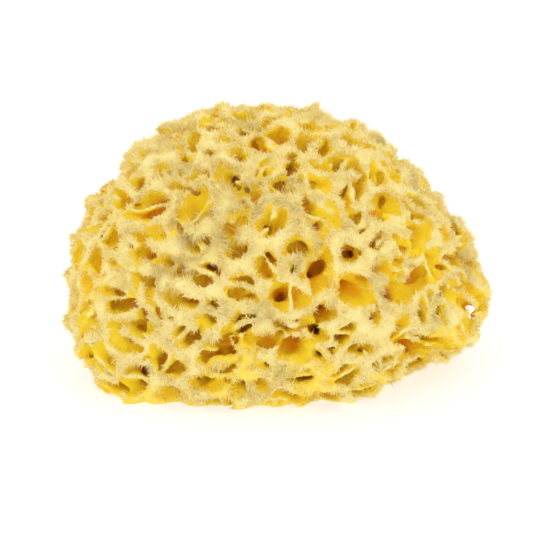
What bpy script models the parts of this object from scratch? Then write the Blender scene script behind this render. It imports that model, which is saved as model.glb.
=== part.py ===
"""A natural honeycomb bath sponge at its real size, as one closed solid.

The sponge is a bun that is widest a little above its base and was cut flat where it grew on
the sea floor. Its skin is a web of narrow crests round deep pits, the mouths of its canals.
The crests rise to a blunt peak wherever three pits meet. Below, the same canals are cut
across, so that the flat underside is a wider web with shallower holes.

Metres, +Z up. The origin is in the middle of the cut base, and the sponge's width runs along X.
"""

import math

import bmesh
import bpy
import numpy as np
from mathutils import Vector

# The plain bun under the crests' peaks, in metres
WIDTH = 0.1353
DEPTH = 0.1160
HEIGHT = 0.0859
GIRTH_HEIGHT = 0.0222
BASE_SHARE = 0.744
FULLNESS = 2.08

# Slow swellings of the skin: which way each faces, how wide it is and how far it stands out
SWELLINGS = (
    # across, back, up, spread in radians, metres
    (1.00, -0.20, 0.05, 0.30, 0.0038),
    (0.75, 0.00, 0.70, 0.40, -0.0044),
    (0.55, -0.10, 0.85, 0.35, 0.0020),
    (-0.80, -0.20, 0.55, 0.45, 0.0011),
    (-0.93, 0.00, 0.37, 0.30, 0.0022),
    (-0.45, 0.00, 0.90, 0.30, -0.0012),
    (-0.95, -0.25, -0.30, 0.35, 0.0033),
    (-0.65, -0.75, -0.35, 0.45, 0.0036),
    (-0.85, -0.45, -0.35, 0.28, 0.0030),
    (0.30, -0.85, -0.50, 0.35, -0.0011),
    (0.80, -0.50, -0.42, 0.32, -0.0026),
    (-0.50, 0.80, 0.15, 0.40, -0.0020),
    (0.15, 0.95, 0.30, 0.45, 0.0022),
    (0.75, 0.65, -0.10, 0.35, -0.0018),
)

# The pits
PIT_COUNT = 320
PIT_SEED = 11
PIT_SCATTER = 0.05
PIT_SIZE_SPREAD = 0.35
SPREADING_ROUNDS = 40
SPREADING_STEP = 0.12
GOLDEN_TURN = math.pi * (1 + math.sqrt(5))
PIT_DEPTH_RANGE = (0.0050, 0.0115)
FULL_DEPTH_RADIUS = 0.0060
PIT_LEAN = 0.45
FLOOR_SHARE = 0.55
FLOOR_POINT_SHARE = 0.30
CANAL_DEPTH = 0.0040

# The crests between them
CREST_HALF_WIDTH_RANGE = (0.0014, 0.0028)
CREST_FALL = 0.0008
PEAK_RANGE = (0.0006, 0.0030)
SKIN_ROUGHNESS = 0.0005
UNDERSIDE_HALF_WIDTH = 0.0026
WIDEST_CREST_SHARE = 0.5

NAME = "sea_sponge"
COLOUR = (0.83, 0.66, 0.24, 1.0)
ROUGHNESS = 0.92
CREASE_ANGLE = math.radians(50)

# The point that every pit leans towards, set so that the sponge stands centred on the origin
HEART = np.array((-0.00044, -0.00025, GIRTH_HEIGHT))
ON_BASE = 1e-6
RING_COUNT = 361


def unit(vectors):
    """Each row at length 1."""
    return vectors / np.linalg.norm(vectors, axis=-1, keepdims=True)


def swelling(directions):
    """How far the skin stands out of the plain bun, in metres, towards each unit direction."""
    out = np.zeros(len(directions))
    for across, back, up, spread, height in SWELLINGS:
        facing = directions @ unit(np.array((across, back, up)))
        angle = np.arccos(np.clip(facing, -1, 1))
        out += height * np.exp(-((angle / spread) ** 2))
    return out


def skin(directions):
    """The points where rays from the heart along these unit directions leave the sponge."""
    below = GIRTH_HEIGHT / (1 - BASE_SHARE**FULLNESS) ** (1 / FULLNESS)
    lift = np.where(directions[:, 2] > 0, HEIGHT - GIRTH_HEIGHT, below)
    half_axes = np.stack(
        (np.full(len(lift), WIDTH / 2), np.full(len(lift), DEPTH / 2), lift), axis=1
    )
    reach = ((np.abs(directions) / half_axes) ** FULLNESS).sum(1) ** (-1 / FULLNESS)
    reach += swelling(directions)
    to_base = GIRTH_HEIGHT / np.maximum(-directions[:, 2], ON_BASE)
    return HEART + directions * np.minimum(reach, to_base)[:, None]


def tilt(heading, elevation):
    """Unit vectors with the compass heading of the given ones and these angles above level."""
    level = unit(heading[:, :2] + ON_BASE) * np.cos(elevation)[:, None]
    return np.column_stack((level, np.sin(elevation)))


def even_area():
    """Matching heights on a unit sphere and elevations from the heart, ring by ring.

    Rings at these heights and elevations cut off the same shares of the sphere's area and of
    the skin's, so that points spread evenly over the sphere are even over the skin too.
    """
    elevation = np.linspace(-math.pi / 2, math.pi / 2, RING_COUNT)
    across = skin(tilt(np.tile((1.0, 0.0, 0.0), (RING_COUNT, 1)), elevation))
    back = skin(tilt(np.tile((0.0, 1.0, 0.0), (RING_COUNT, 1)), elevation))
    radius = (across[:, 0] + back[:, 1]) / 2
    height = (across[:, 2] + back[:, 2]) / 2
    band = (radius[1:] + radius[:-1]) * np.hypot(np.diff(radius), np.diff(height))
    share = np.concatenate(((0,), np.cumsum(band))) / band.sum()
    return 2 * share - 1, elevation


def to_ray(places):
    """Unit directions from the heart for places on the even sphere."""
    return tilt(places, np.interp(places[:, 2], *even_area()))


def pit_places(rng):
    """Places of the pits on the even sphere, in a spiral whose near neighbours push apart.

    Each pit has its own claim to room, so that their sizes differ.
    """
    step = np.arange(PIT_COUNT) + 0.5
    turn = GOLDEN_TURN * step
    spiral = np.column_stack((np.cos(turn), np.sin(turn), np.zeros(PIT_COUNT)))
    places = tilt(spiral, np.arcsin(1 - 2 * step / PIT_COUNT))
    places = unit(places + rng.normal(0, PIT_SCATTER, places.shape))
    claim = rng.uniform(1 - PIT_SIZE_SPREAD, 1 + PIT_SIZE_SPREAD, PIT_COUNT)
    spacing = math.sqrt(4 * math.pi / PIT_COUNT)
    wanted = spacing * (claim[:, None] + claim[None, :]) / 2
    for _ in range(SPREADING_ROUNDS):
        apart = places[:, None] - places[None, :]
        gap = np.linalg.norm(apart, axis=2)
        np.fill_diagonal(gap, np.inf)
        push = np.maximum(wanted / gap - 1, 0) * SPREADING_STEP
        places = unit(places + (apart * push[..., None]).sum(1))
    return places


def toward_heart(point, depth):
    """The point moved straight at the sponge's heart by depth."""
    inward = Vector(HEART) - point
    return point + inward.normalized() * depth


def crest_web(places, rng):
    """A closed mesh with one polygon for each pit, meeting its neighbours along the crests."""
    sites = bmesh.new()
    for place in places:
        sites.verts.new(place)
    bmesh.ops.convex_hull(sites, input=sites.verts)
    sites.faces.index_update()
    middles = np.array([face.calc_center_median() for face in sites.faces])
    outward = to_ray(unit(middles))
    corners = skin(outward)
    rise = rng.uniform(*PEAK_RANGE, len(corners)) + rng.normal(0, SKIN_ROUGHNESS, len(corners))
    rise[corners[:, 2] < ON_BASE] = 0
    corners += outward * rise[:, None]
    corners[:, 2] = np.maximum(corners[:, 2], 0)

    web = bmesh.new()
    web_verts = [web.verts.new(corner) for corner in corners]
    for site in sites.verts:
        around = []
        loop = first = site.link_loops[0]
        while True:
            around.append(web_verts[loop.face.index])
            loop = loop.link_loop_prev.link_loop_radial_next
            if loop == first:
                break
        web.faces.new(around)
    sites.free()
    bmesh.ops.recalc_face_normals(web, faces=web.faces)
    return web


def shrink(face, share, sideways):
    """Draws a face's corners towards its middle, which is first moved sideways."""
    middle = face.calc_center_median() + sideways
    for vert in face.verts:
        vert.co = vert.co.lerp(middle, share)


def sink_pit(web, face, rng):
    """Extrudes one polygon into a crest, a mouth, a narrowing wall and a pointed floor."""
    flat = all(vert.co.z < ON_BASE for vert in face.verts)
    middle = face.calc_center_median()
    radius = sum((vert.co - middle).length for vert in face.verts) / len(face.verts)
    half_width = UNDERSIDE_HALF_WIDTH if flat else rng.uniform(*CREST_HALF_WIDTH_RANGE)
    depth = CANAL_DEPTH if flat else rng.uniform(*PIT_DEPTH_RANGE)
    depth *= min(1, radius / FULL_DEPTH_RADIUS)
    lean = Vector(rng.normal(0, 1, 3)).normalized() * radius * PIT_LEAN * (1 - FLOOR_SHARE)

    mouth = bmesh.ops.extrude_discrete_faces(web, faces=[face])["faces"][0]
    shrink(mouth, min(half_width / radius, WIDEST_CREST_SHARE), Vector())
    if not flat:
        for vert in mouth.verts:
            vert.co = toward_heart(vert.co, CREST_FALL)

    floor = bmesh.ops.extrude_discrete_faces(web, faces=[mouth])["faces"][0]
    shrink(floor, 1 - FLOOR_SHARE, lean)
    for vert in floor.verts:
        vert.co = toward_heart(vert.co, depth)
    tip = bmesh.ops.poke(web, faces=[floor])["verts"][0]
    tip.co = toward_heart(tip.co, depth * FLOOR_POINT_SHARE)


def honeycomb_material():
    """Dry sponge fibre: pale golden yellow and quite matt."""
    material = bpy.data.materials.new("sponge_fibre")
    material.use_nodes = True
    shader = material.node_tree.nodes["Principled BSDF"]
    shader.inputs["Base Color"].default_value = COLOUR
    shader.inputs["Roughness"].default_value = ROUGHNESS
    shader.inputs["Metallic"].default_value = 0.0
    return material


def build_sponge():
    """The whole sponge as one object."""
    rng = np.random.default_rng(PIT_SEED)
    web = crest_web(pit_places(rng), rng)
    for face in list(web.faces):
        sink_pit(web, face, rng)
    bmesh.ops.recalc_face_normals(web, faces=web.faces)
    mesh = bpy.data.meshes.new(NAME)
    web.to_mesh(mesh)
    web.free()
    mesh.shade_smooth()
    mesh.set_sharp_from_angle(angle=CREASE_ANGLE)
    mesh.materials.append(honeycomb_material())
    sponge = bpy.data.objects.new(NAME, mesh)
    bpy.context.scene.collection.objects.link(sponge)


for old in list(bpy.data.objects):
    bpy.data.objects.remove(old, do_unlink=True)
build_sponge()
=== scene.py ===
"""Dresses the honeycomb bath sponge: its pitted body, frayed lips, felt and loose threads.

The body is grown as a field of fibre and hollow on a fine grid, from the same bun, pits and
crests as the solid model, and meshed from it. Five kinds of fibre then grow out of it. All of
it is in metres, +Z up, with the sponge standing on its cut face at z = 0.
"""

import math  # noqa: E402

import bmesh  # noqa: E402
import bpy  # noqa: E402
import numpy as np  # noqa: E402
from bpy.props import FloatProperty, FloatVectorProperty, IntProperty, PointerProperty  # noqa: E402
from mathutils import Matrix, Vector  # noqa: E402


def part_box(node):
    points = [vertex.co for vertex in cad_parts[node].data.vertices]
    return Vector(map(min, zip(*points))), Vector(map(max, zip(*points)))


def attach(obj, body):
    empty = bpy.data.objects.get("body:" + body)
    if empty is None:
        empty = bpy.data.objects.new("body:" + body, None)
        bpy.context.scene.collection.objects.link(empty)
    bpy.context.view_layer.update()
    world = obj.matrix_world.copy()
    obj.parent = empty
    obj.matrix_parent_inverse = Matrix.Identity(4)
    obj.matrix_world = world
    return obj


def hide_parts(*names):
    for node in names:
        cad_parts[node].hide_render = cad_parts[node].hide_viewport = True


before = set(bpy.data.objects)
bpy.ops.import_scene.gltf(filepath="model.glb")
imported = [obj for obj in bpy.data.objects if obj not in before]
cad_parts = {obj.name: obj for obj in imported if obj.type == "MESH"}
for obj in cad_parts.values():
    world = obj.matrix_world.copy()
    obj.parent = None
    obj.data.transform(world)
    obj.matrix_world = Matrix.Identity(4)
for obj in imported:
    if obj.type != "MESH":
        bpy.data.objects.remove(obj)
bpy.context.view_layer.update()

bl_info = {
    "name": "Honeycomb bath sponge",
    "version": (1, 0, 0),
    "blender": (4, 5, 0),
    "location": "3D View > Sidebar > Sponge",
    "description": "Grows a natural sponge with deep pits, frayed lips and felted crests",
    "category": "Add Mesh",
}

NODE = "sea_sponge"
BODY = "root"

# The plain bun under the crests' peaks, as in the solid model
WIDTH = 0.1353
DEPTH = 0.1160
HEIGHT = 0.0859
GIRTH_HEIGHT = 0.0222
BASE_SHARE = 0.744
FULLNESS = 2.08
SWELLINGS = (
    # across, back, up, spread in radians, metres
    (1.00, -0.20, 0.05, 0.30, 0.0038),
    (0.75, 0.00, 0.70, 0.40, -0.0044),
    (0.55, -0.10, 0.85, 0.35, 0.0020),
    (-0.80, -0.20, 0.55, 0.45, 0.0011),
    (-0.93, 0.00, 0.37, 0.30, 0.0022),
    (-0.45, 0.00, 0.90, 0.30, -0.0012),
    (-0.95, -0.25, -0.30, 0.35, 0.0033),
    (-0.65, -0.75, -0.35, 0.45, 0.0036),
    (-0.85, -0.45, -0.35, 0.28, 0.0030),
    (0.30, -0.85, -0.50, 0.35, -0.0011),
    (0.80, -0.50, -0.42, 0.32, -0.0026),
    (-0.50, 0.80, 0.15, 0.40, -0.0020),
    (0.15, 0.95, 0.30, 0.45, 0.0022),
    (0.75, 0.65, -0.10, 0.35, -0.0018),
)
HEART = np.array((-0.00044, -0.00025, GIRTH_HEIGHT))

# The pits and crests, as in the solid model
PIT_COUNT = 320
PIT_SEED = 11
PIT_SCATTER = 0.05
PIT_SIZE_SPREAD = 0.35
SPREADING_ROUNDS = 40
SPREADING_STEP = 0.12
GOLDEN_TURN = math.pi * (1 + math.sqrt(5))
PIT_DEPTH_RANGE = (0.0050, 0.0115)
FULL_DEPTH_RADIUS = 0.0060
PIT_LEAN = 0.45
FLOOR_SHARE = 0.55
CANAL_DEPTH = 0.0040
CREST_HALF_WIDTH_RANGE = (0.0014, 0.0028)
PEAK_RANGE = (0.0006, 0.0030)
SKIN_ROUGHNESS = 0.0005
UNDERSIDE_HALF_WIDTH = 0.0026
ON_BASE = 1e-6
RING_COUNT = 361

# How the fibre wanders from the plain shapes: knot spacing and how far, in metres
WANDER = ((0.0100, 0.0010), (0.0045, 0.0005))
CREST_BUMPS = ((0.0065, 0.00065), (0.0032, 0.00055), (0.0016, 0.00025))
WALL_BUMPS = ((0.0060, 0.00035), (0.0030, 0.00050), (0.0015, 0.00028))
GROWTH_SEED = 5
CANAL_SEED = 7

# Distances over which shapes flow into each other
LIP_ROUNDING = 0.0012
CORNER_ROUNDING = 0.0007
FLOOR_ROUNDING = 0.0016
CANAL_ROUNDING = 0.0009
CUT_ROUNDING = 0.0004

# Canals that run on from the pits' floors, wider in wide pits and towards their mouths
CANAL_LENGTH = (0.007, 0.014)
CANAL_RADIUS = (0.0013, 0.0024)
CANAL_PIT_RADIUS = 0.005
WIDEST_CANAL = 1.25
CANAL_START = 0.75
CANAL_TILT = 0.65
UNDERSIDE_TILT = 0.6
CANAL_TAPER = 0.55
LOWEST_CANAL = 0.004
CANAL_BUMPS = 1.1

# Windows between neighbouring pits, at this share of their depth
WINDOW_SHARE = 0.12
WINDOW_RADIUS = (0.0010, 0.0020)
WINDOW_DEPTH = (0.5, 0.9)

# Small pits and pores where crests meet, the pits at the lowest of these places
MINOR_SHARE = 0.50
MINOR_RADIUS = (0.0011, 0.0019)
MINOR_LENGTH = (0.0035, 0.0070)
MINOR_TAPER = 0.45
PORE_SHARE = 0.20
PORE_RADIUS = (0.0005, 0.0010)
PORE_LENGTH = (0.0030, 0.0060)
PORE_TAPER = 0.8
LOWEST_MINOR = 0.002
MINOR_START = 0.001
MINOR_SHIFT = 0.0008
MINOR_TILT = 0.35

# How far the pits open into the crests, sway with their lean, narrow and reach down
OPENNESS = 0.72
PIT_SWAY = 1.5
PIT_REACH = 1.4
NARROWING_CURVE = 1.6
FLOOR_REACH = 1.1

# The hole through the right lobe, in which the background shows
LOBE_HOLE = ((0.0625, -0.0300, 0.0280), (0.0700, 0.0300, 0.0085))
LOBE_HOLE_RADIUS = 0.0028

# Strands across some of the pits
STRAND_SHARE = 0.06
STRAND_RADIUS = (0.00045, 0.0008)
STRAND_INSET = 0.2
STRAND_DEPTH = (0.001, 0.003)

# Thin partitions that divide the wider pits: their half width, and how far under the crests
SEPTUM_SHARE = 0.85
SEPTUM_PIT_RADIUS = 0.0055
SEPTUM_HALF_WIDTH = (0.0009, 0.0014)
SEPTUM_DEPTH = (0.0, 0.0018)
SEPTUM_OFFSET = 0.15
SEPTUM_ROUNDING = 0.0009
SEPTUM_SEED = 17

# Lumps near the outside that hang on by less than this are cleared away
THREAD = 0.0005
LUMP_DEPTH = 0.0030
LUMP_CELLS = 3

# Patches where the lips are frayed: their size, and from where to where they fade in
FRAY_PATCHES = ((0.009, 1.0),)
FRAY_SEED = 21
FRAY_RANGE = (0.5, 1.4)
FRAY_HEIGHT = (0.015, 0.050)
FRAY_BELOW = 0.15

# Patches where the outside has lost its bleached felt, most of them low down
FADE_PATCHES = ((0.010, 1.0),)
FADE_SEED = 33
FADE_RANGE = (0.9, 1.9)
FADE_HEIGHT = (0.012, 0.040)
LOW_FADES = 1.6
FADED_CREAM = 0.64
FADED_FELT = 0.9

# Where the outside and the lips begin and end: in metres of fibre up to the nearest hollow,
# of depth under the crests, and of height, or in shares of facing straight outward
OUTSIDE_THICKNESS = (0.00010, 0.00055)
TOP_FACING = (0.45, 0.85)
TOP_DEPTH = (0.0012, 0.0026)
LIP_START = (0.00002, 0.00030)
LIP_END = (0.0006, 0.0011)
LIP_FACING = (-0.2, 0.3)
LIP_DEPTH = (0.0010, 0.0020)
CREAM_HEIGHT = (0.0002, 0.0010)
FIBRE_HEIGHT = (0.0012, 0.0030)

# How the crests sag between the peaks at their corners
RISE_BLEND = 0.03
PEAK_SPREAD = 0.055
SAG = 0.62

# How much lower the body's crests are than the solid model's, as felt stands on them
FELT_ROOM = 0.0006

# The thickness of the fibre where no pit or canal is near
THICK = 0.02

# Room round the sponge, round each pit or rod, above the pits and, in shares of their depth,
# under them, and how many cells the maps of all directions have
GRID_MARGIN = 0.0045
SHAPE_MARGIN = 0.003
ABOVE_PIT = 0.005
UNDER_PIT = 1.6
MAP_ROWS = 361
MAP_COLUMNS = 720


def unit(vectors):
    """Each row at length 1."""
    return vectors / np.linalg.norm(vectors, axis=-1, keepdims=True)


def swelling(directions):
    """How far the skin stands out of the plain bun, in metres, towards each unit direction."""
    out = np.zeros(len(directions))
    for across, back, up, spread, height in SWELLINGS:
        facing = directions @ unit(np.array((across, back, up)))
        angle = np.arccos(np.clip(facing, -1, 1))
        out += height * np.exp(-((angle / spread) ** 2))
    return out


def bun_reach(directions):
    """Distances from the heart to the uncut bun along these unit directions."""
    below = GIRTH_HEIGHT / (1 - BASE_SHARE**FULLNESS) ** (1 / FULLNESS)
    lift = np.where(directions[:, 2] > 0, HEIGHT - GIRTH_HEIGHT, below)
    half_axes = np.stack(
        (np.full(len(lift), WIDTH / 2), np.full(len(lift), DEPTH / 2), lift), axis=1
    )
    plain = ((np.abs(directions) / half_axes) ** FULLNESS).sum(1) ** (-1 / FULLNESS)
    return plain + swelling(directions)


def skin_reach(directions):
    """Distances from the heart to the skin, the cut base included."""
    to_base = GIRTH_HEIGHT / np.maximum(-directions[:, 2], ON_BASE)
    return np.minimum(bun_reach(directions), to_base)


def skin(directions):
    """The points where rays from the heart along these unit directions leave the sponge."""
    return HEART + directions * skin_reach(directions)[:, None]


def tilt(heading, elevation):
    """Unit vectors with the compass heading of the given ones and these angles above level."""
    level = unit(heading[:, :2] + ON_BASE) * np.cos(elevation)[:, None]
    return np.column_stack((level, np.sin(elevation)))


def even_area():
    """Matching heights on a unit sphere and elevations from the heart, ring by ring."""
    elevation = np.linspace(-math.pi / 2, math.pi / 2, RING_COUNT)
    across = skin(tilt(np.tile((1.0, 0.0, 0.0), (RING_COUNT, 1)), elevation))
    back = skin(tilt(np.tile((0.0, 1.0, 0.0), (RING_COUNT, 1)), elevation))
    radius = (across[:, 0] + back[:, 1]) / 2
    height = (across[:, 2] + back[:, 2]) / 2
    band = (radius[1:] + radius[:-1]) * np.hypot(np.diff(radius), np.diff(height))
    share = np.concatenate(((0,), np.cumsum(band))) / band.sum()
    return 2 * share - 1, elevation


def to_ray(places):
    """Unit directions from the heart for places on the even sphere."""
    return tilt(places, np.interp(places[:, 2], *even_area()))


def pit_places(rng):
    """Places of the pits on the even sphere, in a spiral whose near neighbours push apart."""
    step = np.arange(PIT_COUNT) + 0.5
    turn = GOLDEN_TURN * step
    spiral = np.column_stack((np.cos(turn), np.sin(turn), np.zeros(PIT_COUNT)))
    places = tilt(spiral, np.arcsin(1 - 2 * step / PIT_COUNT))
    places = unit(places + rng.normal(0, PIT_SCATTER, places.shape))
    claim = rng.uniform(1 - PIT_SIZE_SPREAD, 1 + PIT_SIZE_SPREAD, PIT_COUNT)
    spacing = math.sqrt(4 * math.pi / PIT_COUNT)
    wanted = spacing * (claim[:, None] + claim[None, :]) / 2
    for _ in range(SPREADING_ROUNDS):
        apart = places[:, None] - places[None, :]
        gap = np.linalg.norm(apart, axis=2)
        np.fill_diagonal(gap, np.inf)
        push = np.maximum(wanted / gap - 1, 0) * SPREADING_STEP
        places = unit(places + (apart * push[..., None]).sum(1))
    return places


class Pit:
    """One pit: its outline on the skin, and how wide, deep and slanted it is."""

    def __init__(self, corners, rng):
        self.corners = corners
        self.septum = None
        self.flat = bool((corners[:, 2] < ON_BASE).all())
        self.middle = corners.mean(0)
        self.radius = np.linalg.norm(corners - self.middle, axis=1).mean()
        self.half_width = UNDERSIDE_HALF_WIDTH
        self.depth = CANAL_DEPTH
        if not self.flat:
            self.half_width = rng.uniform(*CREST_HALF_WIDTH_RANGE)
            self.depth = rng.uniform(*PIT_DEPTH_RANGE) * min(1, self.radius / FULL_DEPTH_RADIUS)
        self.lean = unit(rng.normal(0, 1, 3)) * self.radius * PIT_LEAN * (1 - FLOOR_SHARE)
        self.inward = unit(HEART - self.middle)
        if self.flat:
            self.inward = np.array((0.0, 0.0, 1.0))
        helper = np.eye(3)[np.argmin(np.abs(self.inward))]
        self.right = unit(np.cross(self.inward, helper))
        self.up = np.cross(self.right, self.inward)

    def on_face(self, points):
        """Two coordinates of points in the plane across the pit's mouth."""
        apart = points - self.middle
        return apart @ self.right, apart @ self.up

    def at_depth(self, share):
        """The middle of the pit at this share of its depth."""
        return self.middle + self.inward * self.depth * share + self.lean * share


def crest_web(rng):
    """The web's corners, how far each stands out, the pits and the pairs of neighbours."""
    places = pit_places(rng)
    sites = bmesh.new()
    for place in places:
        sites.verts.new(place)
    bmesh.ops.convex_hull(sites, input=sites.verts)
    sites.faces.index_update()
    sites.verts.index_update()
    middles = np.array([face.calc_center_median() for face in sites.faces])
    outward = to_ray(unit(middles))
    corners = skin(outward)
    rise = rng.uniform(*PEAK_RANGE, len(corners)) + rng.normal(0, SKIN_ROUGHNESS, len(corners))
    rise[corners[:, 2] < ON_BASE] = 0
    raised = corners + outward * rise[:, None]
    raised[:, 2] = np.maximum(raised[:, 2], 0)
    pits = []
    for site in sites.verts:
        around = []
        loop = first = site.link_loops[0]
        while True:
            around.append(loop.face.index)
            loop = loop.link_loop_prev.link_loop_radial_next
            if loop == first:
                break
        pits.append(Pit(raised[around], rng))
    pairs = [tuple(vert.index for vert in edge.verts) for edge in sites.edges]
    sites.free()
    return raised, rise, pits, pairs


def smooth_min(a, b, reach):
    """The smaller of two fields, flowing into each other where they differ by under reach."""
    blend = np.clip(0.5 + (b - a) / (2 * reach), 0, 1)
    return b + (a - b) * blend - reach * blend * (1 - blend)


def knot_weights(count, knots_apart, step):
    """Smooth weights of evenly spaced knots at each of count grid lines."""
    place = np.arange(count) * step / knots_apart
    knots = int(place[-1]) + 4
    apart = np.abs(place[:, None] - (np.arange(knots)[None, :] - 1))
    near = 2 / 3 - apart**2 + apart**3 / 2
    far = np.clip(2 - apart, 0, None) ** 3 / 6
    return np.where(apart < 1, near, far).astype(np.float32)


def wander_field(shape, step, knots_apart, rng):
    """A smooth random field on the grid with a spread of one."""
    weights = [knot_weights(count, knots_apart, step) for count in shape]
    field = rng.normal(0, 1, [w.shape[1] for w in weights]).astype(np.float32)
    for w in weights:
        field = np.tensordot(field, w, axes=(0, 1))
    return field / field.std()


def wander_sum(shape, step, layers, rng):
    """Several such fields of different fineness added up."""
    return sum(far * wander_field(shape, step, apart, rng) for apart, far in layers)


def look_up(table, row, column):
    """Values of a map of all directions, read between its cells."""
    low_row = np.clip(row.astype(np.int32), 0, MAP_ROWS - 2)
    low_column = column.astype(np.int32)
    along, across = row - low_row, column - low_column
    left = low_column % MAP_COLUMNS
    right = (low_column + 1) % MAP_COLUMNS
    low = table[low_row, left] * (1 - across) + table[low_row, right] * across
    high = table[low_row + 1, left] * (1 - across) + table[low_row + 1, right] * across
    return low * (1 - along) + high * along


def direction_maps(corners, rise):
    """Maps over all directions from the heart: reach to the bun, to the skin, and crest rise."""
    elevation = np.linspace(-math.pi / 2, math.pi / 2, MAP_ROWS)
    turn = np.arange(MAP_COLUMNS) * 2 * math.pi / MAP_COLUMNS
    heading = np.column_stack((np.cos(turn), np.sin(turn), np.zeros(MAP_COLUMNS)))
    toward = unit(corners - HEART).astype(np.float32)
    maps = np.empty((3, MAP_ROWS, MAP_COLUMNS), np.float32)
    for row, angle in enumerate(elevation):
        rays = tilt(heading, np.full(MAP_COLUMNS, angle))
        maps[0, row] = bun_reach(rays)
        maps[1, row] = skin_reach(rays)
        apart = 2 - 2 * rays.astype(np.float32) @ toward.T
        weight = 1 / (apart + RISE_BLEND**2) ** 3
        crest = weight @ rise.astype(np.float32) / weight.sum(1)
        peak = np.exp(-apart.min(1) / PEAK_SPREAD**2)
        maps[2, row] = crest * (SAG + (1 - SAG) * peak)
    return maps


class Grid:
    """A box of cells round the sponge, a little under its cut face too."""

    def __init__(self, step):
        low, high = (np.array(corner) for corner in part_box(NODE))
        low -= GRID_MARGIN
        high += GRID_MARGIN
        low[2] = -1.5 * step
        self.step = step
        self.low = low
        self.shape = tuple(np.ceil((high - low) / step).astype(int) + 1)
        self.lines = [
            (low[axis] + step * np.arange(self.shape[axis])).astype(np.float32)
            for axis in range(3)
        ]

    def box(self, points, margin):
        """The slices of the grid that hold these points, with a margin."""
        low, high = np.min(points, 0) - margin, np.max(points, 0) + margin
        first = np.floor((low - self.low) / self.step).astype(int)
        last = np.ceil((high - self.low) / self.step).astype(int) + 1
        first = np.clip(first, 0, self.shape)
        last = np.clip(last, 0, self.shape)
        return tuple(slice(a, b) for a, b in zip(first, last))

    def points(self, box=(slice(None),) * 3):
        """The grid's points in a box, as three arrays that fit together."""
        return np.meshgrid(*[line[part] for line, part in zip(self.lines, box)], indexing="ij")


def rays_of(points, maps):
    """Depth under the bun's crests, depth under the skin, and skin point of moved grid points."""
    apart = [p - np.float32(h) for p, h in zip(points, HEART)]
    away = np.sqrt(sum(a * a for a in apart)) + np.float32(ON_BASE)
    row = (np.arcsin(apart[2] / away) / math.pi + 0.5) * (MAP_ROWS - 1)
    column = np.arctan2(apart[1], apart[0]) / (2 * math.pi) % 1 * MAP_COLUMNS
    bun, reach, rise = (look_up(table, row, column) for table in maps)
    foot = [h + a * (reach / away) for a, h in zip(apart, HEART.astype(np.float32))]
    return bun + rise - away, reach - away, foot


def pit_hollow(pit, foot, depth, bumps):
    """How far inside one pit each point is: positive in its hollow, negative in its walls."""
    share = np.clip(depth / pit.depth, 0, PIT_REACH)
    apart = [f - m for f, m in zip(foot, pit.middle)]
    right = sum(a * r for a, r in zip(apart, pit.right))
    up = sum(a * r for a, r in zip(apart, pit.up))
    right -= float(pit.lean @ pit.right) * PIT_SWAY * share
    up -= float(pit.lean @ pit.up) * PIT_SWAY * share
    flat = np.column_stack(pit.on_face(pit.corners))
    if np.cross(flat[1] - flat[0], flat[2] - flat[1]) < 0:
        flat = flat[::-1]
    total = 0
    for start, end in zip(flat, np.roll(flat, -1, axis=0)):
        along = unit(end - start)
        inside = (up - start[1]) * along[0] - (right - start[0]) * along[1]
        total = total + np.exp(np.clip(-inside / CORNER_ROUNDING, -30, 30))
    inside = -CORNER_ROUNDING * np.log(total)
    narrowing = (pit.radius - pit.half_width) * (1 - FLOOR_SHARE) * share**NARROWING_CURVE
    floor = pit.depth * FLOOR_REACH - depth
    wall = pit.half_width * OPENNESS
    hollow = smooth_min(inside - wall - narrowing - bumps, floor, FLOOR_ROUNDING)
    if pit.septum:
        angle, offset, half_width, top = pit.septum
        off = np.abs(right * math.cos(angle) + up * math.sin(angle) - offset + bumps)
        off += np.maximum(top - depth, 0) - half_width
        hollow = smooth_min(hollow, off, SEPTUM_ROUNDING)
    return hollow


def add_septa(pits):
    """Gives most of the wider pits a partition of their own."""
    rng = np.random.default_rng(SEPTUM_SEED)
    for pit in pits:
        septum = (
            rng.uniform(0, math.pi),
            rng.uniform(-SEPTUM_OFFSET, SEPTUM_OFFSET) * pit.radius,
            rng.uniform(*SEPTUM_HALF_WIDTH),
            rng.uniform(*SEPTUM_DEPTH),
        )
        if rng.random() < SEPTUM_SHARE and pit.radius > SEPTUM_PIT_RADIUS:
            pit.septum = septum


def sink_pits(grid, solid, pits, foot, depth, bumps):
    """Hollows every pit out of the solid field."""
    for pit in pits:
        deepest = pit.corners + pit.inward * pit.depth * UNDER_PIT
        highest = pit.corners - pit.inward * ABOVE_PIT
        box = grid.box(np.concatenate((deepest, highest)), SHAPE_MARGIN)
        hollow = pit_hollow(pit, [f[box] for f in foot], depth[box], bumps[box])
        solid[box] = smooth_min(solid[box], -hollow, CORNER_ROUNDING)


def distance_to(points, start, end):
    """Distances from points to a straight line from start to end, and how far along they are."""
    line = (end - start).astype(np.float32)
    apart = [p - np.float32(s) for p, s in zip(points, start)]
    along = np.clip(sum(a * b for a, b in zip(apart, line)) / (line @ line), 0, 1)
    off = sum((a - along * b) ** 2 for a, b in zip(apart, line))
    return np.sqrt(off), along


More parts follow.
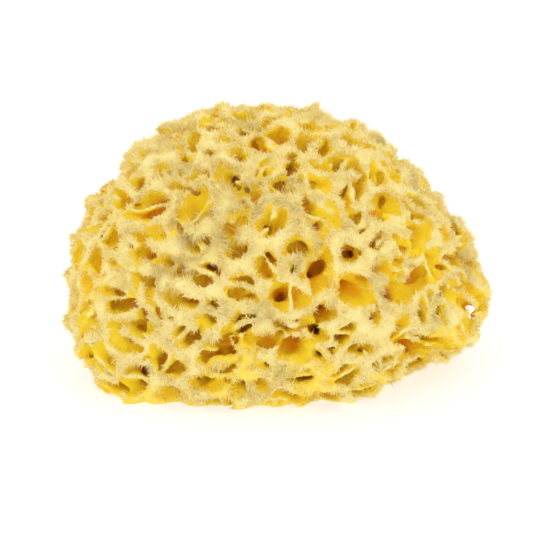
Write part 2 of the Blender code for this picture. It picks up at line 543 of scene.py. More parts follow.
class Rods:
    """Carves lumpy rods out of a field of fibre on the grid, or adds them to it."""

    def __init__(self, grid, solid, moved, bumps):
        self.grid, self.solid, self.moved, self.bumps = grid, solid, moved, bumps

    def around(self, start, end, radii):
        """The part of the grid near a rod, and how far outside the rod its points are."""
        box = self.grid.box((start, end), max(radii) + SHAPE_MARGIN)
        away, along = distance_to([m[box] for m in self.moved], start, end)
        wall = away - radii[0] - (radii[1] - radii[0]) * along
        return box, wall + self.bumps[box] * CANAL_BUMPS

    def carve(self, start, end, radii):
        """Hollows a canal between two points, as wide as the radii at its ends."""
        box, wall = self.around(start, end, radii)
        self.solid[box] = smooth_min(self.solid[box], wall, CANAL_ROUNDING)

    def span(self, start, end, radius):
        """Adds a strand between two points."""
        box, wall = self.around(start, end, (radius, radius))
        self.solid[box] = -smooth_min(-self.solid[box], wall, CANAL_ROUNDING)


def run_canals(rods, corners, rise, pits, pairs):
    """Carves the canals, windows, minor pits and pores, and spans some pits with strands."""
    rng = np.random.default_rng(CANAL_SEED)
    for pit in pits:
        size = min(WIDEST_CANAL, pit.radius / CANAL_PIT_RADIUS)
        tilt_share = UNDERSIDE_TILT if pit.flat else 1
        for _ in range(rng.integers(1, 3)):
            start = pit.at_depth(CANAL_START)
            heading = unit(pit.inward + rng.normal(0, CANAL_TILT, 3) * tilt_share)
            end = start + heading * rng.uniform(*CANAL_LENGTH)
            radius = rng.uniform(*CANAL_RADIUS) * size
            if end[2] > LOWEST_CANAL:
                rods.carve(start, end, (radius, radius * CANAL_TAPER))
    for a, b in pairs:
        if rng.random() < WINDOW_SHARE and not (pits[a].flat or pits[b].flat):
            share = rng.uniform(*WINDOW_DEPTH)
            radius = rng.uniform(*WINDOW_RADIUS)
            ends = pits[a].at_depth(share), pits[b].at_depth(share)
            rods.carve(*ends, (radius, radius))
    order = np.argsort(np.argsort(rise)) / len(rise)
    for corner, rank in zip(corners, order):
        if corner[2] < LOWEST_MINOR or rank > MINOR_SHARE + PORE_SHARE:
            continue
        radii, lengths, taper = PORE_RADIUS, PORE_LENGTH, PORE_TAPER
        if rank < MINOR_SHARE:
            radii, lengths, taper = MINOR_RADIUS, MINOR_LENGTH, MINOR_TAPER
        inward = unit(HEART - corner)
        heading = unit(inward + rng.normal(0, MINOR_TILT, 3))
        mouth = rng.uniform(*radii)
        start = corner - inward * MINOR_START + rng.normal(0, MINOR_SHIFT, 3)
        end = start + heading * rng.uniform(*lengths)
        rods.carve(start, end, (mouth, mouth * taper))
    for pit in pits:
        if rng.random() < STRAND_SHARE and not pit.flat:
            first, second = rng.choice(len(pit.corners), 2, replace=False)
            radius = rng.uniform(*STRAND_RADIUS)
            edges = pit.corners * (1 - STRAND_INSET) + pit.middle * STRAND_INSET
            ends = [
                edges[n] + pit.inward * rng.uniform(*STRAND_DEPTH) for n in (first, second)
            ]
            rods.span(*ends, radius)
    rods.carve(*np.array(LOBE_HOLE), (LOBE_HOLE_RADIUS, LOBE_HOLE_RADIUS))


# The corners of a grid cell, and the pairs of them that an edge joins
CORNERS = [np.array((n >> 2 & 1, n >> 1 & 1, n & 1)) for n in range(8)]
EDGES = [(a, b) for a in range(8) for b in range(a + 1, 8) if a ^ b in (1, 2, 4)]


def mesh_of(field, low, step):
    """Vertices and four-sided faces of the surface where the field is zero, faces outward."""
    inside = field > 0
    cells = tuple(s - 1 for s in field.shape)
    count = np.zeros(cells, np.int8)
    for c in CORNERS:
        count += inside[c[0] : c[0] + cells[0], c[1] : c[1] + cells[1], c[2] : c[2] + cells[2]]
    active = (count > 0) & (count < 8)
    number = np.full(cells, -1, np.int32)
    number[active] = np.arange(active.sum())
    where = np.argwhere(active)
    values = np.stack([field[tuple((where + c).T)] for c in CORNERS], 1)
    total = np.zeros((len(where), 3))
    crossings = np.zeros(len(where))
    for a, b in EDGES:
        va, vb = values[:, a], values[:, b]
        cut = (va > 0) != (vb > 0)
        share = np.where(cut, va / np.where(cut, va - vb, 1), 0)
        total += (CORNERS[a] + share[:, None] * (CORNERS[b] - CORNERS[a])) * cut[:, None]
        crossings += cut
    verts = low + (where + total / crossings[:, None]) * step
    faces = []
    for axis in range(3):
        one, two = [n for n in range(3) if n != axis]
        here = [slice(1, -1)] * 3
        here[axis] = slice(0, -1)
        ahead = list(here)
        ahead[axis] = slice(1, None)
        leaving = inside[tuple(here)] & ~inside[tuple(ahead)]
        entering = ~inside[tuple(here)] & inside[tuple(ahead)]
        for change, turned in ((leaving, axis == 1), (entering, axis != 1)):
            at = np.argwhere(change)
            ring = []
            for ahead_one, ahead_two in ((1, 1), (0, 1), (0, 0), (1, 0)):
                cell = at.copy()
                cell[:, one] += ahead_one
                cell[:, two] += ahead_two
                ring.append(number[tuple(cell.T)])
            ring = np.stack(ring, 1)
            faces.append(ring[:, ::-1] if turned else ring)
    return verts, np.concatenate(faces)


def in_largest_part(verts, faces):
    """Which vertices belong to the largest part of a mesh that hangs together."""
    label = np.arange(len(verts))
    ends = np.concatenate([faces[:, (n, (n + 1) % faces.shape[1])] for n in range(faces.shape[1])])
    while True:
        lower = np.minimum(label[ends[:, 0]], label[ends[:, 1]])
        fresh = label.copy()
        np.minimum.at(fresh, ends[:, 0], lower)
        np.minimum.at(fresh, ends[:, 1], lower)
        fresh = fresh[fresh]
        if (fresh == label).all():
            break
        label = fresh
    return label == np.bincount(label).argmax()


def largest_part(verts, faces):
    """The mesh without the loose bits that hang on to nothing."""
    kept = in_largest_part(verts, faces)
    number = np.cumsum(kept) - 1
    return verts[kept], number[faces[kept[faces].all(1)]]


def drop_lumps(solid, depth, grid):
    """Clears away lumps at the outside that hang on by no more than a thread."""
    verts, faces = mesh_of(solid - THREAD, grid.low, grid.step)
    lumps = verts[~in_largest_part(verts, faces)]
    cells = ((lumps - grid.low) / grid.step).astype(int)
    cells = cells[depth[tuple(cells.T)] < LUMP_DEPTH]
    around = np.argwhere(np.ones((2 * LUMP_CELLS + 1,) * 3)) - LUMP_CELLS
    around = around[(around**2).sum(1) <= LUMP_CELLS**2]
    for offset in around:
        place = np.clip(cells + offset, 0, np.array(grid.shape) - 1)
        solid[tuple(place.T)] = np.minimum(solid[tuple(place.T)], -THREAD)


def read_grid(values, grid, points):
    """A grid's values at points, read between its cells."""
    place = (points - grid.low) / grid.step
    cell = np.clip(place.astype(int), 0, np.array(grid.shape) - 2)
    part = np.clip(place - cell, 0, 1)
    total = np.zeros(len(points))
    for corner in CORNERS:
        weight = np.where(corner, part, 1 - part).prod(1)
        total += weight * values[tuple((cell + corner).T)]
    return total


def grow_field(grid):
    """The sponge's field, positive in its fibre, the depth and the way to the next hollow."""
    corners, rise, pits, pairs = crest_web(np.random.default_rng(PIT_SEED))
    add_septa(pits)
    maps = direction_maps(corners, rise)
    rng = np.random.default_rng(GROWTH_SEED)
    points = grid.points()
    moved = [p + wander_sum(grid.shape, grid.step, WANDER, rng) for p in points]
    bun_depth, depth, foot = rays_of(moved, maps)
    outer = bun_depth - FELT_ROOM + wander_sum(grid.shape, grid.step, CREST_BUMPS, rng)
    bumps = wander_sum(grid.shape, grid.step, WALL_BUMPS, rng)
    walls = np.full(grid.shape, THICK, np.float32)
    sink_pits(grid, walls, pits, foot, depth, bumps)
    run_canals(Rods(grid, walls, moved, bumps), corners, rise, pits, pairs)
    solid = smooth_min(outer, walls, LIP_ROUNDING)
    solid = smooth_min(solid, points[2], CUT_ROUNDING)
    depth = np.minimum(outer, points[2])
    drop_lumps(solid, depth, grid)
    return solid, depth, walls


def ramp(values, start, end):
    """0 up to start, 1 from end on, and smooth between them."""
    share = np.clip((values - start) / (end - start), 0, 1)
    return share * share * (3 - 2 * share)


def new_mesh_object(name, verts, faces):
    """An object at the origin with this mesh."""
    mesh = bpy.data.meshes.new(name)
    mesh.from_pydata(verts.tolist(), [], faces.tolist())
    made = bpy.data.objects.new(name, mesh)
    bpy.context.scene.collection.objects.link(made)
    return made


def bake_modifiers(thing):
    """Turns what the modifiers make into the object's own plain mesh."""
    depsgraph = bpy.context.evaluated_depsgraph_get()
    mesh = bpy.data.meshes.new_from_object(
        thing.evaluated_get(depsgraph), preserve_all_data_layers=True, depsgraph=depsgraph
    )
    thing.modifiers.clear()
    old, thing.data = thing.data, mesh
    bpy.data.meshes.remove(old)
    mesh.name = thing.name


def values_of(items, name, width=1, kind=np.float64):
    """A value of each of a mesh's items, in rows if there are several to each."""
    values = np.empty(len(items) * width, kind)
    items.foreach_get(name, values)
    return values.reshape(-1, width) if width > 1 else values


def add_values(mesh, name, values):
    """Stores one number for each vertex under a name that materials and node trees read."""
    layer = mesh.attributes.new(name, "FLOAT", "POINT")
    layer.data.foreach_set("value", np.asarray(values, np.float32))


def grow_body(form):
    """The pitted body as one mesh, with where it is cream, felted and frayed stored on it."""
    grid = Grid(form.grid_step)
    solid, depth, walls = grow_field(grid)
    verts, faces = largest_part(*mesh_of(solid, grid.low, grid.step))
    body = new_mesh_object("sponge_body", verts, faces)
    thin = body.modifiers.new("fewer faces", "DECIMATE")
    thin.ratio = min(1, form.body_triangles / (2 * len(faces)))
    thin.use_collapse_triangulate = True
    bake_modifiers(body)
    body.data.shade_smooth()
    store_masks(body.data, grid, depth, walls)
    return body


def patches_at(places, grid, layers, seed):
    """A smooth random field with a spread of one, read at these places."""
    field = wander_sum(grid.shape, grid.step, layers, np.random.default_rng(seed))
    return read_grid(field, grid, places)


def store_masks(mesh, grid, depth, walls):
    """Stores how deep each vertex is, and how cream, felted, ragged and frayed it is."""
    places = values_of(mesh.vertices, "co", 3)
    normals = values_of(mesh.vertex_normals, "vector", 3)
    facing = (normals * unit(places - HEART)).sum(1)
    height = places[:, 2]
    below = read_grid(depth, grid, places)
    thick = read_grid(walls, grid, places)

    top = ramp(facing, *TOP_FACING) * (1 - ramp(below, *TOP_DEPTH))
    outside = np.maximum(ramp(thick, *OUTSIDE_THICKNESS), top)
    low = 1 - ramp(height, *FADE_HEIGHT)
    fade = patches_at(places, grid, FADE_PATCHES, FADE_SEED)
    faded = ramp(fade + LOW_FADES * low, *FADE_RANGE)
    clear = ramp(height, *FIBRE_HEIGHT)
    lip = ramp(thick, *LIP_START) * (1 - ramp(thick, *LIP_END))
    lip *= ramp(facing, *LIP_FACING) * (1 - ramp(below, *LIP_DEPTH))
    lip *= clear
    patches = patches_at(places, grid, FRAY_PATCHES, FRAY_SEED)
    high = FRAY_BELOW + (1 - FRAY_BELOW) * ramp(height, *FRAY_HEIGHT)
    cream = outside * ramp(height, *CREAM_HEIGHT) * (1 - FADED_CREAM * faded)
    add_values(mesh, "depth", below)
    add_values(mesh, "cream", cream)
    add_values(mesh, "felt", outside * clear * (1 - FADED_FELT * faded))
    add_values(mesh, "lip", lip)
    add_values(mesh, "fray", lip * high * ramp(patches, *FRAY_RANGE))


def weighted_area(mesh, weight):
    """The area of a mesh, in square metres, with each face counted at its stored weight."""
    mesh.calc_loop_triangles()
    corners = values_of(mesh.loop_triangles, "vertices", 3, np.int32)
    areas = values_of(mesh.loop_triangles, "area")
    values = values_of(mesh.attributes[weight].data, "value", kind=np.float32)
    return float((values[corners].mean(1) * areas).sum())


FIBRE_INPUTS = {
    "Weight": "felt",
    "Density": 1e6,
    "Seed": 1,
    "Shortest": 0.001,
    "Longest": 0.002,
    "Thickness": 0.0001,
    "Flatness": 1.0,
    "Segments": 1,
    "Along surface": 0.5,
    "Outward": 0.5,
    "Untidiness": 0.5,
    "Bend": 0.3,
    "Combing": 0.5,
    "Comb scale": 160.0,
    "Hang": 0.0,
    "Heart": (0.0, 0.0, 0.0),
    "Lowest": 0.0002,
    "Finish": None,
}


def add_inputs(tree, inputs):
    """Gives a node group these inputs, each of its default's kind, or for a material."""
    kinds = {str: "String", int: "Int", float: "Float", type(None): "Material"}
    for name, default in inputs.items():
        kind = kinds.get(type(default)) or ("Color" if len(default) == 4 else "Vector")
        socket = tree.interface.new_socket(name, in_out="INPUT", socket_type="NodeSocket" + kind)
        if default is not None:
            socket.default_value = default


class Wiring:
    """Adds nodes to a tree and joins them up in one call each."""

    def __init__(self, tree):
        self.tree = tree

    def add(self, kind, settings=None, **inputs):
        """A node with these settings and inputs."""
        node = self.tree.nodes.new(kind)
        for name, value in (settings or {}).items():
            setattr(node, name, value)
        self.fill(node, **inputs)
        return node

    def fill(self, node, **inputs):
        """Sets or links a node's named inputs."""
        for name, value in inputs.items():
            self.join(node, name.replace("_", " "), value)

    def join(self, node, place, value):
        """Sets one input of a node, named or counted, or links it if the value is a socket."""
        if isinstance(value, bpy.types.NodeSocket):
            self.tree.links.new(value, node.inputs[place])
        else:
            node.inputs[place].default_value = value

    def maths(self, operation, *values):
        """The result of a Math node."""
        node = self.add("ShaderNodeMath", {"operation": operation})
        for number, value in enumerate(values):
            self.join(node, number, value)
        return node.outputs[0]

    def vector(self, operation, *values):
        """The result of a Vector Math node."""
        node = self.add("ShaderNodeVectorMath", {"operation": operation})
        for number, value in enumerate(values):
            self.join(node, "Scale" if operation == "SCALE" and number else number, value)
        return node.outputs["Vector"]

    def chance(self, kind, seed, **limits):
        """A random number or vector of its own for each point."""
        node = self.add("FunctionNodeRandomValue", {"data_type": kind}, Seed=seed, **limits)
        return node.outputs[0 if kind == "FLOAT_VECTOR" else 1]

    def marked(self, geometry, name, kind, value):
        """A geometry with a value stored on its points under this name."""
        settings = {"data_type": kind, "domain": "POINT"}
        inputs = {"Geometry": geometry, "Name": name, "Value": value}
        return self.add("GeometryNodeStoreNamedAttribute", settings, **inputs).outputs[0]

    def mark(self, name, kind):
        """The value that is stored under this name."""
        node = self.add("GeometryNodeInputNamedAttribute", {"data_type": kind}, Name=name)
        return node.outputs[0]

    def ranged(self, value, start, end, low=0.0, high=1.0, kind="SMOOTHSTEP"):
        """Low up to start, high from end on, and between them in between."""
        limits = {"From Min": start, "From Max": end, "To Min": low, "To Max": high}
        node = self.add(
            "ShaderNodeMapRange", {"interpolation_type": kind}, Value=value, **limits
        )
        return node.outputs[0]


# The ends of random vectors, how strong full combing is, and how a bend grows to the tip
ONE_WAY = (1.0, 1.0, 1.0)
OTHER_WAY = (-1.0, -1.0, -1.0)
COMB_REACH = 6.0
BEND_CURVE = 1.7


def fibre_heading(wiring, given, roots):
    """Which way each fibre points, and the combing that it shares with its neighbours."""
    add, vector = wiring.add, wiring.vector
    place = add("GeometryNodeInputPosition").outputs[0]
    outward = vector("NORMALIZE", vector("SUBTRACT", place, given["Heart"]))
    stray = wiring.chance("FLOAT_VECTOR", given["Seed"], Min=OTHER_WAY, Max=ONE_WAY)
    noise = add(
        "ShaderNodeTexNoise",
        {"noise_dimensions": "3D"},
        Vector=place,
        Scale=given["Comb scale"],
        Detail=1.0,
    )
    comb = vector("SUBTRACT", noise.outputs["Color"], (0.5, 0.5, 0.5))
    comb = vector("SCALE", comb, wiring.maths("MULTIPLY", given["Combing"], COMB_REACH))
    heading = vector("SCALE", roots.outputs["Normal"], given["Along surface"])
    for way, share in ((outward, "Outward"), (stray, "Untidiness")):
        heading = vector("ADD", heading, vector("SCALE", way, given[share]))
    heading = vector("ADD", heading, comb)
    heading = vector("ADD", heading, vector("SCALE", (0.0, 0.0, -1.0), given["Hang"]))
    return vector("NORMALIZE", heading), comb


def tapered_spike(wiring, given):
    """One straight fibre, one unit long, with how far along it each point is stored on it."""
    spike = wiring.add(
        "GeometryNodeMeshCone",
        {"fill_type": "NGON"},
        Vertices=3,
        Side_Segments=given["Segments"],
        Radius_Top=0.0,
        Radius_Bottom=1.0,
        Depth=1.0,
    )
    place = wiring.add("GeometryNodeInputPosition").outputs[0]
    height = wiring.add("ShaderNodeSeparateXYZ", Vector=place).outputs["Z"]
    return wiring.marked(spike.outputs["Mesh"], "along", "FLOAT", height)


def fibre_tree():
    """A node tree that grows tapered, bent fibres out of a surface where a weight is stored."""
    tree = bpy.data.node_groups.new("grow fibres", "GeometryNodeTree")
    tree.is_modifier = True
    tree.interface.new_socket("Geometry", in_out="INPUT", socket_type="NodeSocketGeometry")
    add_inputs(tree, FIBRE_INPUTS)
    tree.interface.new_socket("Geometry", in_out="OUTPUT", socket_type="NodeSocketGeometry")
    wiring = Wiring(tree)
    add, maths, vector = wiring.add, wiring.maths, wiring.vector
    given = add("NodeGroupInput").outputs
    seeds = [given["Seed"]] + [maths("ADD", given["Seed"], step) for step in (1, 2, 3)]

    weight = wiring.mark(given["Weight"], "FLOAT")
    roots = add(
        "GeometryNodeDistributePointsOnFaces",
        {"distribute_method": "RANDOM"},
        Mesh=given["Geometry"],
        Density=maths("MULTIPLY", weight, given["Density"]),
        Seed=seeds[0],
    )
    heading, comb = fibre_heading(wiring, given, roots)
    turned = add("FunctionNodeAlignRotationToVector", {"axis": "Z"}, Vector=heading)
    length = wiring.chance("FLOAT", seeds[1], Min=given["Shortest"], Max=given["Longest"])
    sway = wiring.chance("FLOAT_VECTOR", seeds[2], Min=OTHER_WAY, Max=ONE_WAY)
    sway = vector("SCALE", vector("ADD", sway, comb), maths("MULTIPLY", length, given["Bend"]))
    points = wiring.marked(roots.outputs["Points"], "sway", "FLOAT_VECTOR", sway)
    points = wiring.marked(points, "tone", "FLOAT", wiring.chance("FLOAT", seeds[3]))

    half = maths("MULTIPLY", given["Thickness"], 0.5)
    width = maths("MULTIPLY", half, given["Flatness"])
    fibres = add(
        "GeometryNodeInstanceOnPoints",
        Points=points,
        Instance=tapered_spike(wiring, given),
        Rotation=turned.outputs[0],
        Scale=add("ShaderNodeCombineXYZ", X=width, Y=half, Z=length).outputs[0],
    )
    real = add("GeometryNodeRealizeInstances", Geometry=fibres.outputs[0])
    curve = maths("POWER", wiring.mark("along", "FLOAT"), BEND_CURVE)
    bent = vector("SCALE", wiring.mark("sway", "FLOAT_VECTOR"), curve)
    moved = add("GeometryNodeSetPosition", Geometry=real.outputs[0], Offset=bent)
    now = add("ShaderNodeSeparateXYZ", Vector=add("GeometryNodeInputPosition").outputs[0])
    height = maths("MAXIMUM", now.outputs["Z"], given["Lowest"])
    lifted = add("ShaderNodeCombineXYZ", X=now.outputs["X"], Y=now.outputs["Y"], Z=height)
    kept = add("GeometryNodeSetPosition", Geometry=moved.outputs[0], Position=lifted.outputs[0])
    finished = add(
        "GeometryNodeSetMaterial", Geometry=kept.outputs[0], Material=given["Finish"]
    )
    add("NodeGroupOutput", Geometry=finished.outputs[0])
    return tree


def grow_fibres(name, body, material, count, weight, seed):
    """A piece of about count fibres that grow out of the body, as one plain mesh."""
    fibres = body.copy()
    fibres.data = body.data.copy()
    fibres.name = fibres.data.name = name
    fibres.parent = None
    for mark in list(fibres.keys()):
        del fibres[mark]
    bpy.context.scene.collection.objects.link(fibres)
    tree = bpy.data.node_groups.get("grow fibres") or fibre_tree()
    grower = fibres.modifiers.new("fibres", "NODES")
    grower.node_group = tree
    values = {
        "Weight": weight,
        "Density": count / weighted_area(body.data, weight),
        "Heart": tuple(HEART),
        "Finish": material,
        "Seed": seed,
        **dict(zip(SIZE_NAMES, FIBRE_SIZES[name])),
    }
    for item in tree.interface.items_tree:
        if item.in_out == "INPUT" and item.name in values:
            grower[item.identifier] = values[item.name]
    bake_modifiers(fibres)
    return fibres


def new_material(name):
    """A material with a shader and an output, and the wiring to add to them."""
    material = bpy.data.materials.new(name)
    material.use_nodes = True
    material.node_tree.nodes.clear()
    wiring = Wiring(material.node_tree)
    shader = wiring.add("ShaderNodeBsdfPrincipled")
    wiring.add("ShaderNodeOutputMaterial", Surface=shader.outputs["BSDF"])
    return material, wiring, shader


# Where ragged cream begins, how ragged, where a pit's pale rim ends and amber sets in; the darker
# amber deep inside is partly the fibre's own colour and partly painted shade
RAGGEDNESS = 0.9
CREAM_RANGE = (0.25, 0.65)
DEPTH_RAGGEDNESS = 0.004
RIM_DEPTH = 0.0035
RIM_PALENESS = 0.15
# From where to where the canals turn to the darker amber: partly the fibre's own colour, partly
# painted shade
AMBER_SHADE_DEPTH = (0.0045, 0.0100)

# The body's grain and pinholes: how many to the metre, and from where to where they fade
COARSE_GRAIN = 800.0
FINE_GRAIN = 1900.0
FINE_GRAIN_RANGE = (0.35, 0.65)
PINHOLES = 330.0
PINHOLE_RANGE = (0.07, 0.15)
# How strongly each pinhole is dented and painted dark, as painted shade inside it
PINHOLE_SHADE_STRENGTH = 0.7

TINT_INPUTS = {
    "Cream": 1.0,
    "Depth": 0.0,
    "Grain": 0.5,
    "Fine grain": 0.5,
    "Crest": (0.85, 0.66, 0.22, 1.0),
    "Bleached": (0.85, 0.75, 0.40, 1.0),
    "Wall": (0.85, 0.56, 0.02, 1.0),
    # Deep: the darker amber far inside, partly the fibre's own colour and partly painted shade
    "Deep": (0.50, 0.22, 0.01, 1.0),
}


def mixed(wiring, share, one, two):
    """The colour between two colours at this share of the second."""
    node = wiring.add("ShaderNodeMix", {"data_type": "RGBA"})
    for place, value in ((0, share), (6, one), (7, two)):
        wiring.join(node, place, value)
    return node.outputs[2]


def tint_group():
    """A shader group that colours fibre by where on the sponge it is, with painted shade in the
    darker amber deep inside.
    """
    tree = bpy.data.node_groups.new("sponge tint", "ShaderNodeTree")
    add_inputs(tree, TINT_INPUTS)
    tree.interface.new_socket("Colour", in_out="OUTPUT", socket_type="NodeSocketColor")
    wiring = Wiring(tree)
    given = wiring.add("NodeGroupInput").outputs
    maths = wiring.maths
    grain = maths("SUBTRACT", given["Grain"], 0.5)
    ragged = maths("ADD", given["Cream"], maths("MULTIPLY", grain, RAGGEDNESS))
    uneven = maths("ADD", given["Depth"], maths("MULTIPLY", grain, DEPTH_RAGGEDNESS))
    shallow = wiring.ranged(uneven, 0.0, RIM_DEPTH, RIM_PALENESS, 0.0)
    inside = mixed(wiring, shallow, given["Wall"], given["Crest"])
    # Deep inside, the colour turns to the darker amber: partly the fibre's own colour, partly
    # painted shade
    inside = mixed(wiring, wiring.ranged(uneven, *AMBER_SHADE_DEPTH), inside, given["Deep"])
    outside = mixed(wiring, given["Fine grain"], given["Crest"], given["Bleached"])
    colour = mixed(wiring, wiring.ranged(ragged, *CREAM_RANGE), inside, outside)
    wiring.add("NodeGroupOutput", Colour=colour)
    return tree


def tinted(wiring, finish, **values):
    """The colour that the tint group gives for these values."""
    group = wiring.add("ShaderNodeGroup")
    group.node_tree = bpy.data.node_groups.get("sponge tint") or tint_group()
    wiring.fill(
        group,
        Crest=(*finish.crest_colour, 1),
        Bleached=(*finish.fray_colour, 1),
        Wall=(*finish.wall_colour, 1),
        Deep=(*finish.deep_amber_and_shade_colour, 1),
        **values,
    )
    return group.outputs["Colour"]


def stored(wiring, name):
    """A number stored on the surface under this name."""
    return wiring.add("ShaderNodeAttribute", {"attribute_name": name}).outputs["Fac"]


def body_material(finish):
    """The body's finish: stippled cream on the crests, golden in the pits, darker amber far inside
    as partly painted shade, and pinholes painted dark as their shade.
    """
    material, wiring, shader = new_material("sponge_fibre_body")
    place = wiring.add("ShaderNodeTexCoord").outputs["Object"]
    coarse = wiring.add("ShaderNodeTexNoise", Vector=place, Scale=COARSE_GRAIN, Detail=4.0)
    fine = wiring.add("ShaderNodeTexNoise", Vector=place, Scale=FINE_GRAIN, Detail=3.0)
    colour = tinted(
        wiring,
        finish,
        Cream=stored(wiring, "cream"),
        Depth=stored(wiring, "depth"),
        Grain=coarse.outputs[0],
        Fine_grain=wiring.ranged(fine.outputs[0], *FINE_GRAIN_RANGE, kind="LINEAR"),
    )
    cells = wiring.add("ShaderNodeTexVoronoi", Vector=place, Scale=PINHOLES)
    solid = wiring.ranged(cells.outputs["Distance"], *PINHOLE_RANGE, kind="LINEAR")
    hollow = wiring.maths("SUBTRACT", 1.0, solid)
    pinhole_dent_and_shade = wiring.maths("MULTIPLY", hollow, PINHOLE_SHADE_STRENGTH)
    # Painted shade: the pinholes are darkened towards the deep amber, and dented in the bump below
    colour = mixed(wiring, pinhole_dent_and_shade, colour, (*finish.deep_amber_and_shade_colour, 1))
    height = wiring.maths("ADD", coarse.outputs[0], wiring.maths("MULTIPLY", fine.outputs[0], 0.5))
    height = wiring.maths("SUBTRACT", height, pinhole_dent_and_shade)
    bump = wiring.add("ShaderNodeBump", Strength=0.45, Distance=0.0008, Height=height)
    wiring.fill(
        shader,
        Base_Color=colour,
        Normal=bump.outputs[0],
        Roughness=0.9,
        Specular_IOR_Level=0.2,
        Subsurface_Weight=0.4,
        Subsurface_Radius=(1.0, 0.7, 0.15),
        Subsurface_Scale=0.003,
    )
    return material


def fibre_material(name, finish, bleach):
    """The finish of single fibres: as the body where they grow, or more bleached than it."""
    material, wiring, shader = new_material(name)
    colour = tinted(
        wiring,
        finish,
        Cream=wiring.maths("ADD", stored(wiring, "cream"), bleach),
        Depth=stored(wiring, "depth"),
        Grain=0.5,
        Fine_grain=stored(wiring, "tone"),
    )
    wiring.fill(
        shader,
        Base_Color=colour,
        Roughness=0.8,
        Specular_IOR_Level=0.2,
        Sheen_Weight=0.35,
        Sheen_Roughness=0.6,
        Sheen_Tint=(1.0, 0.93, 0.75, 1.0),
    )
    return material


class SpongeForm(bpy.types.PropertyGroup):
    """Sizes of the sponge's body."""

    grid_step: FloatProperty(
        name="Grid step",
        description="Size of the cells that the body is grown in",
        default=0.0007,
        min=0.0004,
        max=0.003,
        unit="LENGTH",
    )
    body_triangles: IntProperty(
        name="Body triangles",
        description="How many triangles the body keeps",
        default=196000,
        min=1000,
        max=199000,
    )


def colour_setting(name, description, default):
    """A colour that the panel shows."""
    return FloatVectorProperty(
        name=name, description=description, subtype="COLOR", default=default, min=0, max=1
    )


class SpongeFinish(bpy.types.PropertyGroup):
    """Colours of the sponge's fibre, and the painted shade of its deep canals and pinholes."""

    crest_colour: colour_setting(
        "Crests", "Sun-bleached fibre on the outside", (0.97, 0.80, 0.26)
    )
    # Darker amber far inside, partly the fibre's own colour and partly painted shade; also the
    # painted shade in the pinholes
    deep_amber_and_shade_colour: colour_setting("Deep canals", "Amber fibre far inside", (0.95, 0.45, 0.008))
    fray_colour: colour_setting(
        "Frayed lips", "Bleached fringes round the pits", (0.97, 0.86, 0.47)
    )
    wall_colour: colour_setting("Pit walls", "Golden fibre in the pits", (0.98, 0.71, 0.025))


class SpongeStage(bpy.types.PropertyGroup):
    """The view and the light."""

    camera_elevation: FloatProperty(
        name="Camera elevation",
        description="How far above level the camera stands",
        default=math.radians(18),
        subtype="ANGLE",
    )
    camera_distance: FloatProperty(
        name="Camera distance",
        description="From the camera to the point that it looks at",
        default=0.75,
        unit="LENGTH",
    )
    lens: FloatProperty(
        name="Lens",
        description="Focal length on a 36 mm wide sensor",
        default=0.1441,
        unit="LENGTH",
    )


class SPONGE_OT_body(bpy.types.Operator):
    """Grow the sponge's pitted body"""

    bl_idname = "sponge.body"
    bl_label = "Pitted body"

    def execute(self, context):
        body = grow_body(context.scene.sponge_form)
        body.data.materials.append(body_material(context.scene.sponge_finish))
        finish_piece(body)
        return {"FINISHED"}


def finish_piece(piece):
    """Ties a piece to the sponge's frame and hides the solid part that it stands for."""
    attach(piece, BODY)
    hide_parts(NODE)


# The kinds of fibre: the weight that they grow by, how many, their seed and their bleaching
FELTS = (
    ("crest_felt", "felt", 47000, 3, 0.0),
    ("standing_felt", "felt", 36000, 4, 0.0),
    ("ragged_lips", "lip", 47000, 5, 0.20),
)
FRINGES = (
    ("frayed_lips", "fray", 15000, 8, 0.40),
    ("loose_threads", "fray", 1500, 9, 0.40),
)
SIZE_NAMES = (
    *("Shortest", "Longest", "Thickness", "Flatness", "Segments"),
    *("Along surface", "Outward", "Untidiness", "Bend", "Combing", "Hang"),
)
FIBRE_SIZES = {
    # three lengths in metres, then numbers, in the order of the names above
    "crest_felt": (0.0005, 0.0013, 0.00014, 1.0, 1, 0.15, 0.15, 0.8, 0.2, 0.5, 0.0),
    "standing_felt": (0.0008, 0.0024, 0.00010, 1.0, 1, 0.25, 0.7, 0.5, 0.3, 0.8, 0.0),
    "ragged_lips": (0.0006, 0.0019, 0.00018, 3.6, 1, 0.6, 0.2, 0.5, 0.2, 0.5, 0.0),
    "frayed_lips": (0.0010, 0.0036, 0.00018, 1.0, 2, 0.4, 0.6, 0.12, 0.3, 0.8, 0.35),
    "loose_threads": (0.0018, 0.0042, 0.00032, 1.0, 6, 0.5, 0.0, 0.5, 0.9, 0.1, 0.15),
}


def grow_kinds(kinds, finish):
    """Grows each of these kinds of fibre out of the body, as a piece of its own."""
    body = bpy.data.objects["sponge_body"]
    for name, weight, count, seed, bleach in kinds:
        material = fibre_material(name, finish, bleach)
        finish_piece(grow_fibres(name, body, material, count, weight, seed))


class SPONGE_OT_felt(bpy.types.Operator):
    """Cover the crests with short felted fibres and tear their lips"""

    bl_idname = "sponge.felt"
    bl_label = "Felt on the crests"

    def execute(self, context):
        grow_kinds(FELTS, context.scene.sponge_finish)
        return {"FINISHED"}


class SPONGE_OT_fringe(bpy.types.Operator):
    """Fray the lips of the pits into fringes and loose threads"""

    bl_idname = "sponge.fringe"
    bl_label = "Frayed lips"

    def execute(self, context):
        grow_kinds(FRINGES, context.scene.sponge_finish)
        return {"FINISHED"}


# The point that the view turns about, and the one that the camera looks at
ORBITED = Vector((-0.0004, 0.0, 0.04))
LOOK_AT = Vector((-0.0001, 0.0, 0.0296))

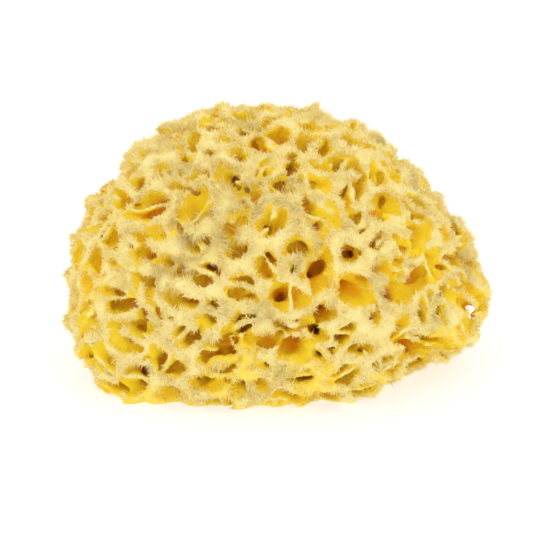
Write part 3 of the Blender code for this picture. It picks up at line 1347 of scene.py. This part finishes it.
# The paper floor's half width, grey and glow, the light of the room, and the lamps
PAPER_REACH = 6.0
PAPER_GREY = 0.45
PAPER_GLOW = 0.62
ROOM_LIGHT = 0.925
LAMPS = (
    # name, place, size, power
    ("key", (-0.35, -0.55, 0.9), 0.8, 1.5),
    ("fill", (0.8, -0.5, 0.5), 0.6, 0.8),
)


def add_lamp(name, place, target, size, power):
    """A soft square lamp that faces a point."""
    lamp = bpy.data.lights.new(name, "AREA")
    lamp.shape = "SQUARE"
    lamp.size = size
    lamp.energy = power
    holder = bpy.data.objects.new(name, lamp)
    holder.location = place
    holder.rotation_euler = (target - Vector(place)).to_track_quat("-Z", "Y").to_euler()
    bpy.context.scene.collection.objects.link(holder)
    return holder


class SPONGE_OT_stage(bpy.types.Operator):
    """Set up the floor, the soft light and the camera"""

    bl_idname = "sponge.stage"
    bl_label = "Floor, light and camera"

    def execute(self, context):
        stage = context.scene.sponge_stage
        corners = [(-1, -1, 0), (1, -1, 0), (1, 1, 0), (-1, 1, 0)]
        floor = new_mesh_object("floor", np.array(corners) * PAPER_REACH, np.array([(0, 1, 2, 3)]))
        material, wiring, shader = new_material("floor_paper")
        wiring.fill(
            shader,
            Base_Color=(PAPER_GREY, PAPER_GREY, PAPER_GREY, 1),
            Emission_Color=(1, 1, 1, 1),
            Emission_Strength=PAPER_GLOW,
            Roughness=0.8,
        )
        floor.data.materials.append(material)
        world = bpy.data.worlds.new("studio")
        context.scene.world = world
        world.use_nodes = True
        light = world.node_tree.nodes["Background"].inputs
        light["Color"].default_value = (1, 1, 1, 1)
        light["Strength"].default_value = ROOM_LIGHT
        for name, place, size, power in LAMPS:
            add_lamp(name, place, ORBITED, size, power)
        camera = bpy.data.cameras.new("camera")
        camera.sensor_width = 36
        camera.lens = stage.lens * 1000
        holder = bpy.data.objects.new("camera", camera)
        back = Vector(
            (0, -math.cos(stage.camera_elevation), math.sin(stage.camera_elevation))
        )
        holder.location = ORBITED + back * stage.camera_distance
        holder.rotation_euler = (LOOK_AT - holder.location).to_track_quat("-Z", "Y").to_euler()
        context.scene.collection.objects.link(holder)
        context.scene.camera = holder
        context.scene.view_settings.view_transform = "Standard"
        return {"FINISHED"}


class SPONGE_PT_panel(bpy.types.Panel):
    """The steps that make the sponge"""

    bl_idname = "SPONGE_PT_panel"
    bl_label = "Honeycomb sponge"
    bl_space_type = "VIEW_3D"
    bl_region_type = "UI"
    bl_category = "Sponge"

    def draw(self, context):
        for settings in SETTINGS:
            group = getattr(context.scene, settings)
            box = self.layout.box()
            for name in group.__annotations__:
                box.prop(group, name)
        for step in (SPONGE_OT_body, SPONGE_OT_felt, SPONGE_OT_fringe, SPONGE_OT_stage):
            self.layout.operator(step.bl_idname)


SETTINGS = {
    "sponge_form": SpongeForm,
    "sponge_finish": SpongeFinish,
    "sponge_stage": SpongeStage,
}
CLASSES = (
    *SETTINGS.values(),
    SPONGE_OT_body,
    SPONGE_OT_felt,
    SPONGE_OT_fringe,
    SPONGE_OT_stage,
    SPONGE_PT_panel,
)


def register():
    """Adds the settings, operators and panel to Blender."""
    for item in CLASSES:
        bpy.utils.register_class(item)
    for name, kind in SETTINGS.items():
        setattr(bpy.types.Scene, name, PointerProperty(type=kind))


def unregister():
    """Takes them out again."""
    for name in SETTINGS:
        delattr(bpy.types.Scene, name)
    for item in reversed(CLASSES):
        bpy.utils.unregister_class(item)


def main():
    """Makes every piece in order."""
    register()
    bpy.ops.sponge.body()
    bpy.ops.sponge.felt()
    bpy.ops.sponge.fringe()
    bpy.ops.sponge.stage()


if __name__ == "__main__":
    main()
